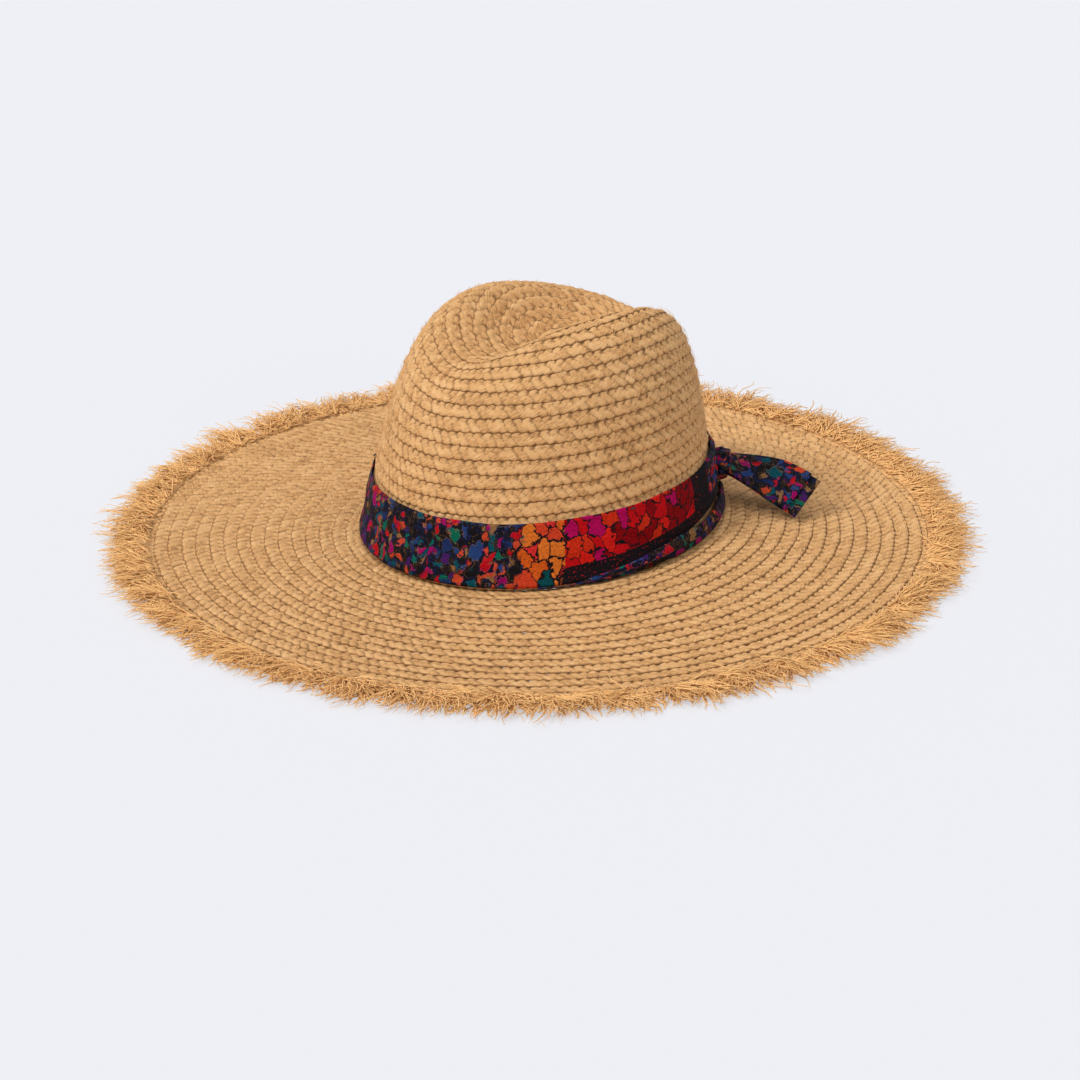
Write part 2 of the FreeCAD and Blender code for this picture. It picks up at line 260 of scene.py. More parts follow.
# ---------------------------------------------------------------- shader writing
class Wire:
    """A shader value: a socket, with Python's operators adding Math nodes."""

    def __init__(self, tree: bpy.types.NodeTree, socket: bpy.types.NodeSocket) -> None:
        """Wrap an output socket of a tree."""
        self.tree = tree
        self.socket = socket

    def _math(self, operation: str, *others: "Wire | float") -> "Wire":
        """Add one Math node on this value and the others."""
        return Shop(self.tree).math(operation, self, *others)

    def __add__(self, other: "Wire | float") -> "Wire":
        """Sum."""
        return self._math("ADD", other)

    __radd__ = __add__

    def __sub__(self, other: "Wire | float") -> "Wire":
        """Difference."""
        return self._math("SUBTRACT", other)

    def __rsub__(self, other: float) -> "Wire":
        """Difference from a number."""
        return Shop(self.tree).math("SUBTRACT", other, self)

    def __mul__(self, other: "Wire | float") -> "Wire":
        """Product."""
        return self._math("MULTIPLY", other)

    def step(self, low: float, high: float) -> "Wire":
        """0 below low, 1 above high, a smooth step between; low may be the larger."""
        shop = Shop(self.tree)
        return shop.node("ShaderNodeMapRange", {"interpolation_type": "SMOOTHSTEP"},
                         {"Value": self, "From Min": low, "From Max": high})["Result"]


class Outputs:
    """The outputs of a node, as wires by name."""

    def __init__(self, tree: bpy.types.NodeTree, made: bpy.types.Node) -> None:
        """Wrap a node."""
        self.tree = tree
        self.made = made

    def __getitem__(self, name: str | int) -> Wire:
        """The output of that name or number."""
        return Wire(self.tree, self.made.outputs[name])


@dataclass
class Shop:
    """Adds nodes to one tree."""

    tree: bpy.types.NodeTree

    def node(self, kind: str, settings: dict | None = None, sockets: dict | None = None) -> Outputs:
        """Add a node.

        Args:
            kind: the node's type.
            settings: its properties, or "stops" for a ramp: a list of (position, colour).
            sockets: values or wires for its inputs, by name or number.

        Returns:
            Its outputs.
        """
        made = self.tree.nodes.new(kind)
        for name, value in (settings or {}).items():
            if name == "stops":
                self._stops(made.color_ramp, value)
            elif name == "steps":
                made.color_ramp.interpolation = value
            else:
                setattr(made, name, value)
        for name, value in (sockets or {}).items():
            target = made.inputs[name]
            if isinstance(value, Wire):
                self.tree.links.new(value.socket, target)
            else:
                target.default_value = value
        return Outputs(self.tree, made)

    def _stops(self, ramp: bpy.types.ColorRamp, stops: Sequence[tuple[float, tuple]]) -> None:
        """Set a ramp's stops."""
        while len(ramp.elements) > 1:
            ramp.elements.remove(ramp.elements[-1])
        for k, (at, colour) in enumerate(stops):
            element = ramp.elements[0] if k == 0 else ramp.elements.new(at)
            element.position = at
            element.color = (*colour, 1)

    def math(self, operation: str, *values: "Wire | float") -> Wire:
        """Add a Math node."""
        return self.node("ShaderNodeMath", {"operation": operation}, dict(enumerate(values)))["Value"]

    def vector(self, x: "Wire | float", y: "Wire | float", z: "Wire | float" = 0.0) -> Wire:
        """Join three values into a vector."""
        return self.node("ShaderNodeCombineXYZ", None, {"X": x, "Y": y, "Z": z})["Vector"]

    def noise(self, at: Wire, scale: float, detail: float = 2.0, rough: float = 0.5) -> Wire:
        """Noise in 0..1."""
        return self.node("ShaderNodeTexNoise", None,
                         {"Vector": at, "Scale": scale, "Detail": detail, "Roughness": rough})["Fac"]

    def mark(self, name: str) -> Outputs:
        """A named attribute of the piece."""
        return self.node("ShaderNodeAttribute", {"attribute_name": name})

    def split(self, vector: Wire) -> tuple[Wire, Wire, Wire]:
        """The three parts of a vector."""
        parts = self.node("ShaderNodeSeparateXYZ", None, {"Vector": vector})
        return parts["X"], parts["Y"], parts["Z"]

    def ramp(self, value: Wire, stops: Sequence[tuple[float, tuple]], steps: str = "LINEAR") -> Wire:
        """A colour ramp on a value."""
        return self.node("ShaderNodeValToRGB", {"stops": stops, "steps": steps}, {"Fac": value})["Color"]

    def mix(self, share: "Wire | float", a: "Wire | tuple", b: "Wire | tuple", way: str = "MIX") -> Wire:
        """Mix two colours."""
        colours = [c if isinstance(c, Wire) else (*c, 1) for c in (a, b)]
        made = self.node("ShaderNodeMix", {"data_type": "RGBA", "blend_type": way},
                         {0: share, 6: colours[0], 7: colours[1]})
        return made[2]

    def bump(self, height: Wire, distance: float, strength: float = 1.0, below: Wire | None = None) -> Wire:
        """A bumped normal; height 1 stands out by the distance, in metres."""
        sockets = {"Height": height, "Distance": distance, "Strength": strength}
        if below is not None:
            sockets["Normal"] = below
        return self.node("ShaderNodeBump", None, sockets)["Normal"]


Colour = tuple[float, float, float]


@dataclass(frozen=True)
class Finish:
    """A finish: a named material made of nodes."""

    name: str
    slot: Slot
    roughness: float = 0.7
    sheen: float = 0.0
    shine: float = 0.2

    def paint(self, shop: Shop) -> dict[str, Wire]:
        """The varying inputs of the shader."""
        raise NotImplementedError

    def material(self) -> bpy.types.Material:
        """The material, made once."""
        known = bpy.data.materials.get(self.name)
        if known:
            return known
        made = bpy.data.materials.new(self.name)
        made.use_nodes = True
        shader = made.node_tree.nodes["Principled BSDF"]
        shader.inputs["Roughness"].default_value = self.roughness
        shader.inputs["Sheen Weight"].default_value = self.sheen
        shader.inputs["Specular IOR Level"].default_value = self.shine
        for name, wire in self.paint(Shop(made.node_tree)).items():
            made.node_tree.links.new(wire.socket, shader.inputs[name])
        return made


@dataclass(frozen=True)
class Raffia(Finish):
    """Plaited raffia: the mark "plait" holds (along, across, tone) and "depth" the strand height, faded at the
    tucked edges, 0 to 1, which sets the painted shade in the creases.
    """

    dark: Colour = (0.30, 0.135, 0.045)
    middle: Colour = (0.67, 0.362, 0.140)
    pale: Colour = (0.84, 0.525, 0.25)
    slant: float = 0.55

    def paint(self, shop: Shop) -> dict[str, Wire]:
        """Fibres run along each strand, tone varies by strand, and painted shade darkens the creases between
        strands and under the rows.
        """
        along, across, tone = shop.split(shop.mark("plait")["Vector"])
        depth = shop.mark("depth")["Fac"]
        side = shop.math("SIGN", across)
        ridge = across + side * along * self.slant
        fibres = shop.noise(shop.vector(along * 0.28, ridge * 1.15), 1.0, 4.0, 0.75)
        blotch = shop.noise(shop.vector(along * 0.05, across * 0.05, tone * 7.0), 1.0, 2.0)
        shade = tone * 0.42 + (fibres - 0.5) * 2.1 + (blotch - 0.5) * 0.45 + 0.3
        colour = shop.ramp(shade, [(0.0, self.dark), (0.42, self.middle), (1.0, self.pale)])
        # painted shade: the colour goes towards a deep brown where the strands sit low and where each row
        # tucks under the next, as if shade fell in those creases
        crease = (1 - depth).step(0.28, 0.85) * 0.85
        colour = shop.mix(crease, colour, tuple(c * 0.5 for c in self.dark))
        normal = shop.bump(fibres, 0.0009, 1.0)
        return {"Base Color": colour, "Normal": normal, "Roughness": 0.55 + fibres * 0.3}


@dataclass(frozen=True)
class LooseFibre(Finish):
    """Frayed raffia: the mark "hair" holds (along, tone, tuft)."""

    root: Colour = (0.80, 0.44, 0.17)
    middle: Colour = (0.86, 0.50, 0.19)
    tip: Colour = (0.80, 0.48, 0.19)

    def paint(self, shop: Shop) -> dict[str, Wire]:
        """Each fibre has its own tone, deeper at the root and paler at the tip."""
        along, tone, tuft = shop.split(shop.mark("hair")["Vector"])
        shade = tone * 0.6 + along * 0.3 + tuft * 0.25 - 0.08
        colour = shop.ramp(shade, [(0.0, self.root), (0.5, self.middle), (1.0, self.tip)])
        streak = shop.noise(shop.vector(along * 3, tone * 40), 1.0, 2.0)
        return {"Base Color": colour, "Normal": shop.bump(streak, 0.0001, 0.5)}


@dataclass(frozen=True)
class PrintedSilk(Finish):
    """Printed scarf cloth: the mark "cloth" holds (along, up, zone) in millimetres."""

    ink: Colour = (0.005, 0.004, 0.006)

    def paint(self, shop: Shop) -> dict[str, Wire]:
        """Irregular cells between dark lines: big red and orange ones, small mixed ones on a black ground."""
        along, up, zone = shop.split(shop.mark("cloth")["Vector"])
        flat = shop.vector(along, up)
        drift_x = shop.noise(flat, 0.12, 4.0, 0.6)
        drift_y = shop.noise(shop.vector(along + 57, up - 31), 0.12, 4.0, 0.6)
        at = shop.vector(along + (drift_x - 0.5) * 14, (up + (drift_y - 0.5) * 14) * 0.8)
        big, big_gap = self._cells(shop, at, 0.135)
        small, small_gap = self._cells(shop, at, 0.27)
        patch = shop.noise(shop.vector(along, up, 4.0), 0.06, 2.0)
        large = patch.step(0.50, 0.56)
        red_stops = [(0.0, (0.20, 0.0, 0.003)), (0.35, (0.42, 0.002, 0.005)),
                     (0.6, (0.55, 0.010, 0.006)), (0.74, (0.34, 0.0, 0.075)),
                     (0.82, (0.46, 0.02, 0.004))]
        red = shop.ramp(big, red_stops, "CONSTANT")
        orange_stops = [(0.0, (0.50, 0.085, 0.008)), (0.3, (0.46, 0.04, 0.012)),
                        (0.52, (0.52, 0.13, 0.015)), (0.72, (0.30, 0.14, 0.04)),
                        (0.82, (0.0, 0.05, 0.06)), (0.9, (0.5, 0.02, 0.02))]
        orange = shop.ramp(big, orange_stops, "CONSTANT")
        mixed_stops = [(0.0, self.ink), (0.33, (0.008, 0.020, 0.085)), (0.41, (0.0, 0.055, 0.075)),
                       (0.47, (0.42, 0.045, 0.015)), (0.55, (0.36, 0.002, 0.008)),
                       (0.63, (0.19, 0.095, 0.035)), (0.70, (0.040, 0.006, 0.085)),
                       (0.75, (0.012, 0.035, 0.13)), (0.82, self.ink),
                       (0.89, (0.0, 0.10, 0.06)), (0.94, (0.24, 0.0, 0.08))]
        mixed = shop.mix(large, shop.ramp(small, mixed_stops, "CONSTANT"),
                         shop.ramp(big, mixed_stops, "CONSTANT"))
        ragged = zone + (drift_x - 0.5) * 0.7
        colour = shop.mix(ragged.step(0.26, 0.32), mixed, orange)
        colour = shop.mix(zone.step(0.72, 0.78), colour, red)
        tint = shop.noise(flat, 0.8, 4.0, 0.7)
        worn = shop.mix(1.0, colour, (1.8, 1.45, 1.2), "MULTIPLY")
        colour = shop.mix(tint.step(0.4, 0.75) * 0.5, colour, worn)
        deeper = shop.mix(1.0, colour, (0.35, 0.3, 0.35), "MULTIPLY")
        colour = shop.mix(tint.step(0.55, 0.3) * 0.6, colour, deeper)
        gap = shop.mix(large, small_gap, big_gap)
        gap = shop.split(shop.mix(ragged.step(0.26, 0.32), gap, big_gap))[0]
        width = shop.noise(flat, 0.35, 2.0) * 0.16 - zone * 0.035
        rim = (width + 0.075 - gap).step(0.0, 0.03)
        rim = rim * (0.5 - zone).step(0.2, 0.45)
        rim_colour = shop.ramp(drift_y, [(0.0, (0.01, 0.035, 0.20)), (0.5, (0.20, 0.10, 0.035))], "CONSTANT")
        colour = shop.mix(rim * 0.45, colour, rim_colour)
        line = (width + 0.015 - gap).step(-0.01, 0.02)
        ink = shop.mark("ink")["Fac"]
        colour = shop.mix(line, colour, self.ink)
        colour = shop.mix(ink.step(0.4, 0.6) * (1 - tint.step(0.58, 0.66)), colour, self.ink)
        weave = shop.noise(shop.vector(along * 9, up * 9), 1.0, 1.0)
        crease = shop.noise(shop.vector(along * 0.10, up * 0.5), 1.0, 3.0)
        normal = shop.bump(crease, 0.0009, 0.6, shop.bump(weave, 0.00008, 0.5))
        return {"Base Color": colour, "Normal": normal}

    def _cells(self, shop: Shop, at: Wire, scale: float) -> tuple[Wire, Wire]:
        """A random value for each cell, and the distance from the line between cells."""
        cell = shop.node("ShaderNodeTexVoronoi", {"voronoi_dimensions": "2D"}, {"Vector": at, "Scale": scale})
        edge = shop.node("ShaderNodeTexVoronoi", {"voronoi_dimensions": "2D", "feature": "DISTANCE_TO_EDGE"},
                         {"Vector": at, "Scale": scale})
        value = shop.split(cell["Color"])[0]
        return value, edge["Distance"]


@dataclass(frozen=True)
class Ribbon(Finish):
    """Ribbed cotton ribbon: the mark "cloth" holds (along, up, 0) in millimetres."""

    colour: Colour = (0.46, 0.33, 0.19)

    def paint(self, shop: Shop) -> dict[str, Wire]:
        """Fine upright ribs and a slightly uneven tone."""
        along, up, _ = shop.split(shop.mark("cloth")["Vector"])
        rib = shop.math("SINE", along * (TURN / 0.9)) * 0.5 + 0.5
        tone = shop.noise(shop.vector(along * 0.2, up * 0.2), 1.0, 3.0)
        colour = shop.mix(tone, tuple(c * 0.8 for c in self.colour), self.colour)
        colour = shop.mix(rib * 0.3, colour, tuple(c * 0.55 for c in self.colour))
        return {"Base Color": colour, "Normal": shop.bump(rib, 0.0002, 0.8)}


@dataclass(frozen=True)
class Thread(Finish):
    """Twisted sewing thread."""

    colour: Colour = (0.62, 0.45, 0.30)

    def paint(self, shop: Shop) -> dict[str, Wire]:
        """A slanting twist, lighter on its ridges, with painted shade darkening the grooves between them."""
        at = shop.node("ShaderNodeTexCoord")["Object"]
        x, y, z = shop.split(at)
        twist = shop.math("SINE", (x + y + z) * 9000.0) * 0.5 + 0.5
        # painted shade: the colour drops to 0.6 of itself in the grooves of the twist and is full on its
        # ridges
        colour = shop.mix(twist, tuple(c * 0.6 for c in self.colour), self.colour)
        return {"Base Color": colour, "Normal": shop.bump(twist, 0.0001, 0.6)}


BRAID = Raffia("braided_raffia", Slot.BRAID, 0.68)
FIBRE = LooseFibre("loose_raffia", Slot.FRINGE, 0.62, 0.1)
SCARF = PrintedSilk("printed_silk", Slot.SCARF, 0.7, shine=0.08)
RIBBON = Ribbon("cotton_ribbon", Slot.RIBBON, 0.85)
THREAD = Thread("cotton_thread", Slot.THREAD, 0.8)
STRAW_THREAD = Thread("straw_thread", Slot.THREAD, 0.8, colour=(0.56, 0.33, 0.14))
DARK_THREAD = Thread("dark_thread", Slot.DARK_THREAD, 0.8, colour=(0.03, 0.025, 0.03))


# ---------------------------------------------------------------- the hat's form
@dataclass(frozen=True)
class HatForm:
    """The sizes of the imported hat's form, in millimetres and degrees."""

    head_side: float = 94.2
    head_front: float = 100.4
    straw: float = 3.0
    head_height: float = 9.2
    head_tilt: float = 6.0
    crown_top: float = 142.0
    crown_square: float = 4.1
    lean_front: float = 0.284
    lean_side: float = 0.270
    lean_back: float = 0.148
    tip_back: float = 18.5
    dent_middle: float = 12.5
    dent_front: float = 100.0
    dent_back: float = 85.0
    dent_side: float = 37.5
    dent_depth: float = 32.0
    dent_edge: float = 0.16
    ridge_front_drop: float = 10.5
    ridge_twist: float = 0.0042
    brim_width: float = 121.6
    brim_rise_width: float = 92.0

    def head_line(self, angle: Array) -> Array:
        """Height of the crown's lower edge: a plane that is higher at the back."""
        return self.head_height + self.head_tilt * np.sin(np.radians(angle))

    def dent_share(self, x: Array, y: Array) -> Array:
        """How far the teardrop dent is pressed in: 0 outside its soft rim, 1 in its middle."""
        reach = np.where(y < self.dent_middle, self.dent_front, self.dent_back)
        inside = 1 - np.hypot(x / self.dent_side, (y - self.dent_middle) / reach)
        ramp = (inside + np.hypot(inside, self.dent_edge)) / (1 + math.hypot(1, self.dent_edge))
        return 1 - (1 - np.minimum(ramp, 1)) ** 2

    def crown_point(self, angle: Array, turn: Array) -> Array:
        """The crown's outer face: a superellipse dome over the head oval, with the dent pressed in.

        Args:
            angle: degrees round the head, 0 at +X and 90 at the back.
            turn: 0 at the head line to 1 at the tip.

        Returns:
            Points of the shape of the two arrays together.
        """
        a = np.radians(angle)
        up = np.sin(turn * math.pi / 2) ** (2 / self.crown_square)
        round_out = np.maximum(np.cos(turn * math.pi / 2), 0) ** (2 / self.crown_square)
        front, back = np.clip(-np.sin(a), 0, 1) ** 2, np.clip(np.sin(a), 0, 1) ** 2
        lean = (self.lean_side + (self.lean_front - self.lean_side) * front
                + (self.lean_back - self.lean_side) * back)
        out = round_out * (1 - lean * up)
        x = self.head_side * np.cos(a) * out
        y = self.head_front * np.sin(a) * out + self.tip_back * (1 - round_out)
        z = self.head_line(angle) * (1 - up) + self.crown_top * up
        nose = np.clip((self.dent_middle - y) / self.dent_front, 0, 1.3)
        z = z - self.dent_depth * self.dent_share(x, y) * up**3
        z = z + (self.ridge_twist * x * y - self.ridge_front_drop * nose**2) * up**2
        return np.stack([x, y, z], -1)

    def brim_point(self, angle: Array, out: Array, offset: Array) -> Array:
        """The brim's upper face: the head oval grown outwards, falling smoothly to the flat part.

        Args:
            angle: degrees round the head.
            out: distance outwards from the head oval.
            offset: height over the upper face.

        Returns:
            The points.
        """
        a = np.radians(angle)
        fall = 1 - ease(out / self.brim_rise_width)
        z = self.straw + (self.head_line(angle) - self.straw) * fall + offset
        return np.stack([(self.head_side + out) * np.cos(a), (self.head_front + out) * np.sin(a), z], -1)


FORM = HatForm()


class CrownSkin:
    """The crown's face as a table over angle and share of the meridian's length."""

    ANGLES = 721
    SHARES = 500
    FINE_STEPS = 700
    FINE_CROWDING = 1.6

    def __init__(self, form: HatForm) -> None:
        """Lay the table out: each meridian is cut into steps of equal length."""
        angles = np.linspace(0, 360, self.ANGLES)
        turn = np.linspace(0, 1, self.FINE_STEPS) ** self.FINE_CROWDING
        fine = form.crown_point(angles[:, None], turn[None, :])
        step = np.linalg.norm(np.diff(fine, axis=1), axis=-1)
        far = np.concatenate([np.zeros((self.ANGLES, 1)), np.cumsum(step, 1)], 1)
        self.length = far[:, -1]
        shares = np.linspace(0, 1, self.SHARES)
        self.points = np.stack([
            np.stack([np.interp(shares * f[-1], f, line[:, k]) for k in range(3)], -1)
            for f, line in zip(far, fine)
        ])
        round_it = np.roll(self.points[:-1], -1, 0) - np.roll(self.points[:-1], 1, 0)
        round_it = np.concatenate([round_it, round_it[:1]])
        self.outward = unit(np.cross(round_it, np.gradient(self.points, axis=1)))

    def at(self, angle: Array, share: Array, offset: Array | float = 0.0) -> Array:
        """Points off the crown's face, read between the table's points.

        Args:
            angle: degrees round the head, any number of turns.
            share: 0 at the head line to 1 at the tip.
            offset: distance outwards.

        Returns:
            The points.
        """
        angle, share, offset = np.broadcast_arrays(angle, share, offset)
        a = np.mod(angle, 360) / 360 * (self.ANGLES - 1)
        s = np.clip(share, 0, 0.9999) * (self.SHARES - 1)
        i, j = a.astype(int), s.astype(int)
        i = np.minimum(i, self.ANGLES - 2)
        fa, fs = (a - i)[..., None], (s - j)[..., None]
        found = []
        for table in (self.points, self.outward):
            low = table[i, j] * (1 - fs) + table[i, j + 1] * fs
            high = table[i + 1, j] * (1 - fs) + table[i + 1, j + 1] * fs
            found.append(low * (1 - fa) + high * fa)
        return found[0] + unit(found[1]) * offset[..., None]

    def rise(self, angle: Array, rise: Array, offset: Array | float = 0.0) -> Array:
        """Points off the crown's face at a length up the meridian, in millimetres."""
        length = np.interp(np.mod(angle, 360), np.linspace(0, 360, self.ANGLES), self.length)
        return self.at(angle, rise / length, offset)


# ---------------------------------------------------------------- plaited braid
@dataclass
class Plait:
    """The braid: two columns of strands that lean against each other, about 9 mm wide."""

    lobe: float = 5.3
    width: float = 9.2
    tilt: float = 1.6
    rows_wide: float = 1.34
    upper: int = 11
    lower: int = 5
    step: float = 1.05
    seed: int = 11
    strands: int = 4096
    join: float = 12.0

    def relief(self, along: Array, across: Array, lobe: float) -> tuple[Array, Array]:
        """Height of the strands: the highest of the domes, each an ellipsoid leaning along the row.

        Args:
            along: millimetres along the row.
            across: millimetres across it, negative on the tucked edge.
            lobe: the strands' pitch on this row.

        Returns:
            The height, 0 to 1, and the tone of the strand that is highest.
        """
        rng = np.random.default_rng(self.seed)
        table = rng.random((self.strands, 4))
        best = np.zeros(np.broadcast(along, across).shape)
        tone = np.full(best.shape, 0.3)
        columns = ((-2.1, -0.80, 3.1, 1.7, 0.0), (2.0, 0.62, 4.1, 1.7, 0.45))
        for which, (middle, lean, long, short, shift) in enumerate(columns):
            base = np.floor(along / lobe - shift)
            for k in (-1, 0, 1, 2):
                index = (base + k).astype(int)
                random = table[np.mod(index * 2 + which, self.strands)]
                x = along - (index + 0.5 + shift + (random[..., 0] - 0.5) * 0.22) * lobe
                y = across - middle - (random[..., 1] - 0.5) * 0.5
                turn = lean + (random[..., 2] - 0.5) * 0.3
                p = x * np.cos(turn) + y * np.sin(turn)
                q = -x * np.sin(turn) + y * np.cos(turn)
                dome = np.sqrt(np.clip(1 - (p / long) ** 2 - (q / short) ** 2, 0, 1))
                height = dome * (0.86 + 0.2 * random[..., 3])
                higher = height > best
                best = np.where(higher, height, best)
                tone = np.where(higher, random[..., 3], tone)
        return best, tone

    def strip(self, cloud: Cloud, surface: Callable[[Array, Array, Array], Array], angle: Array, row: Array,
              along: Array, outwards: int, closed: bool) -> None:
        """Carry the braid's flat section along a row.

        Args:
            cloud: the mesh that it is added to.
            surface: gives the points for (angle, row, offset).
            angle: degrees round the head at each step.
            row: the row number of the middle line at each step.
            along: millimetres along the row at each step.
            outwards: 1 where row numbers grow away from the tip, else -1.
            closed: the row joins itself.
        """
        top = np.linspace(-0.5, 0.5, self.upper)
        under = np.linspace(0.5, -0.5, self.lower)
        q = np.concatenate([top, under])[None, :]
        length = along[-1] + (along[1] - along[0]) if closed else along[-1]
        lobe = length / round(length / self.lobe) if closed else self.lobe
        s = along[:, None]
        is_top = (np.arange(q.shape[1]) < self.upper)[None, :]
        across = q * self.width
        height, tone = self.relief(s, np.where(is_top, across, -across), lobe)
        if closed:
            wrapped, wrapped_tone = self.relief(s - length, np.where(is_top, across, -across), lobe)
            share = ease((s - (length - self.join)) / 10)
            height = height * (1 - share) + wrapped * share
            tone = np.where(share > 0.5, wrapped_tone, tone)
        edge = 0.35 + 0.65 * np.sqrt(np.clip(1 - (2 * q) ** 4, 0, 1))
        lift = -1.98 + self.tilt * q + 0.16 * sway(s / 40, self.seed + 1)
        offset = np.where(is_top, lift + edge * (0.58 + 0.9 * height), lift - edge * (0.55 + 0.3 * height))
        scallop = 1 + 0.05 * np.cos(TURN * s / lobe) + 0.035 * sway(s / 23, self.seed + 2)
        wander = 0.05 * sway(s / 60, self.seed + 3)
        if closed:
            fade = ease(s / 15) * ease((length - s) / 15)
            wander, scallop = wander * fade, 1 + (scallop - 1) * fade
        rows = row[:, None] + outwards * (q * self.rows_wide * scallop + wander)
        points = surface(angle[:, None], rows, offset)
        slow = 0.5 + 0.5 * sway(s / 180 + 0.37 * row[:, None], self.seed + 4)
        tone = np.clip(tone * 0.7 + slow * 0.3, 0, 1)
        plait = np.stack(np.broadcast_arrays(s, across, tone), -1)
        # open_part and depth make the mask of the painted crease shade: low between the strands, at the edge
        # that tucks under the next row and on the underside
        open_part = np.where(is_top, ease((q + 0.5) / 0.3) * ease((0.54 - q) / 0.07), 0.8)
        depth = (0.36 + 0.64 * height) * open_part
        cloud.grid(points, loop_rows=closed, loop_columns=True, caps=not closed, plait=plait, depth=depth)


@dataclass
class CrownBraid:
    """The crown: one long spiral of braid from the head line to the button in the dent."""

    skin: CrownSkin
    plait: Plait
    rows: float = 26.0
    first: float = 0.7
    split: float = 9.6
    foot_row: float = 0.6
    button: float = 24.75
    last: float = 25.55
    foot_steps: int = 2000
    row_steps: int = 900

    def surface(self, angle: Array, row: Array, offset: Array) -> Array:
        """Points off the crown at a row number, counted up from the head line."""
        return self.skin.at(angle, np.clip(row / self.rows, 0, 0.998), offset)

    def foot(self, cloud: Cloud) -> None:
        """Add the closed row at the head line, under the spiral's start."""
        angle = np.linspace(0, 360, self.foot_steps)
        row = np.full_like(angle, self.foot_row)
        line = self.surface(angle, row, np.zeros_like(angle))
        far = run_length(line)
        count = int(far[-1] / self.plait.step)
        along = np.arange(count) * (far[-1] / count)
        at = np.interp(along, far, angle)
        self.plait.strip(cloud, self.surface, at, np.full(count, self.foot_row), along, -1, True)

    def stretch(self, name: str, start: float, stop: float, node: Sequence[str], foot: bool = False) -> None:
        """Make one stretch of the spiral between two row numbers, as a piece."""
        row = np.linspace(start, stop, int((stop - start) * self.row_steps))
        line = self.surface(row * 360, row, np.zeros_like(row))
        far = run_length(line)
        along = np.linspace(0, far[-1], int(far[-1] / self.plait.step))
        at = np.interp(along, far, row)
        cloud = Cloud()
        self.plait.strip(cloud, self.surface, at * 360, at, along, -1, False)
        if foot:
            self.foot(cloud)
        place(cloud.build(name, flip=True), BRAID, Body.HAT, node)

    def build(self) -> None:
        """Make the spiral's stretches: the wall in two pieces, then the button in the dent."""
        self.stretch("crown_rows_lower", self.first, self.split, ["crown_braid"], foot=True)
        self.stretch("crown_rows_upper", self.split, self.button, [])
        self.stretch("crown_button_coil", self.button, self.last, ["crown_tip_coil"])


@dataclass
class BrimBraid:
    """The brim: sixteen rows of braid, each lying on the inner edge of the next.

    One more ring, at tucked_row, closes the gap under the crown's foot.
    """

    form: HatForm
    plait: Plait
    rows: int = 16
    tucked_row: float = -0.55
    join_turn: float = 137.5
    ring_steps: int = 3000

    @property
    def pitch(self) -> float:
        """Distance from row to row."""
        return self.form.brim_width / self.rows

    def surface(self, angle: Array, row: Array, offset: Array) -> Array:
        """Points off the brim's upper face at a row number, counted out from the head."""
        angle, row, offset = np.broadcast_arrays(angle, row, offset)
        return self.form.brim_point(angle, row * self.pitch, np.maximum(offset, -self.form.straw + 0.05))

    def ring(self, cloud: Cloud, number: float) -> None:
        """Add one row, as a closed ring."""
        angle = np.linspace(0, 360, self.ring_steps)
        middle = number + 0.5
        start = self.join_turn * number
        line = self.surface(angle + start, np.full_like(angle, middle), np.zeros_like(angle))
        far = run_length(line)
        count = int(far[-1] / self.plait.step)
        along = np.arange(count) * (far[-1] / count)
        at = np.interp(along, far, angle) + start
        plait = Plait(seed=self.plait.seed + 20 + math.ceil(number))
        plait.strip(cloud, self.surface, at, np.full(count, middle), along, 1, True)

    def build(self) -> None:
        """Make the rows in pieces: inner, middle, outer, and the edge row by itself."""
        groups = {
            "brim_rows_inner": ((self.tucked_row, *range(6)), ["brim_braid"]),
            "brim_rows_middle": (range(6, 11), []),
            "brim_rows_outer": (range(11, 15), []),
            "brim_edge_row": (range(15, 16), ["brim_edge_braid"]),
        }
        for name, (rows, nodes) in groups.items():
            cloud = Cloud()
            for number in rows:
                self.ring(cloud, number)
            place(cloud.build(name), BRAID, Body.HAT, nodes)


# ---------------------------------------------------------------- loose fibres
def fibres(cloud: Cloud, line: Array, side: Array, radius: Array, tone: Array, tuft: Array) -> None:
    """Add fibres: a triangle carried along each line, closed to a point at the tip.

    Args:
        cloud: the mesh that they are added to.
        line: middle points (fibres, steps, 3).
        side: a vector across each fibre (fibres, 3), along which it is widest.
        radius: half widths (fibres, steps).
        tone: a value for each fibre.
        tuft: a value for the fibre's tuft.
    """
    count, steps = line.shape[:2]
    along = unit(np.gradient(line, axis=1))
    up = unit(np.cross(along, side[:, None, :]))
    wide = unit(np.cross(up, along))
    turn = np.array([0.5, 0.5 + 2 / 3, 0.5 + 4 / 3]) * math.pi
    ring = (np.cos(turn)[None, None, :, None] * wide[:, :, None, :]
            + 0.6 * np.sin(turn)[None, None, :, None] * up[:, :, None, :])
    points = line[:, :, None, :] + ring * radius[:, :, None, None]
    base = (np.arange(count) * steps * 3)[:, None, None, None]
    k = (np.arange(steps - 1) * 3)[None, :, None, None]
    corner = np.arange(3)[None, None, :, None]
    after = (corner + 1) % 3
    near = base + k
    quads = np.concatenate([near + corner, near + after, near + 3 + after, near + 3 + corner], -1)
    first = base[:, 0, 0, :] + np.array([[2, 1, 0]])
    last = base[:, 0, 0, :] + (steps - 1) * 3 + np.array([[0, 1, 2]])
    share = np.linspace(0, 1, steps)
    hair = np.stack(np.broadcast_arrays(share[None, :, None], tone[:, None, None], tuft[:, None, None]), -1)
    hair = np.ascontiguousarray(np.broadcast_to(hair, (count, steps, 3, 3))).reshape(-1, 3)
    cloud.add(points.reshape(-1, 3), quads.reshape(-1, 4), np.vstack([first, last]), hair=hair)


